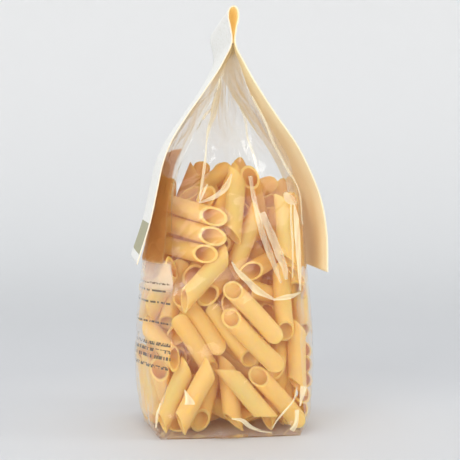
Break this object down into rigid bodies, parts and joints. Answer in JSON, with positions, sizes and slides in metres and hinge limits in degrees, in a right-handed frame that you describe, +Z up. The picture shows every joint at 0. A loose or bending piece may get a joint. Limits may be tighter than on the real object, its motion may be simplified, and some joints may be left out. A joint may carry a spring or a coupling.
{
  "type": "pasta packet",
  "caption": "Clear standing bag of smooth penne, its folded-in sides meeting at a flat neck under a folded cardboard header with two long flaps.",
  "frame": {"origin": "middle of the base, on the surface that the bag stands on", "axes": "+Z up, the side with the folded-in gusset that the picture shows faces -Y, and the card's fold runs along Y"},
  "size_m": [0.1158, 0.1, 0.258],
  "materials": {
    "pasta": "dry smooth pasta, pale golden, slightly translucent at thin edges",
    "film": "clear thin crackling film with sharp creases and bright highlights",
    "card": "uncoated kraft card inside, cream printed face outside"
  },
  "bodies": {
    "root": {"filled_bag": "pasta", "header_card": "card"}
  },
  "joints": []
}
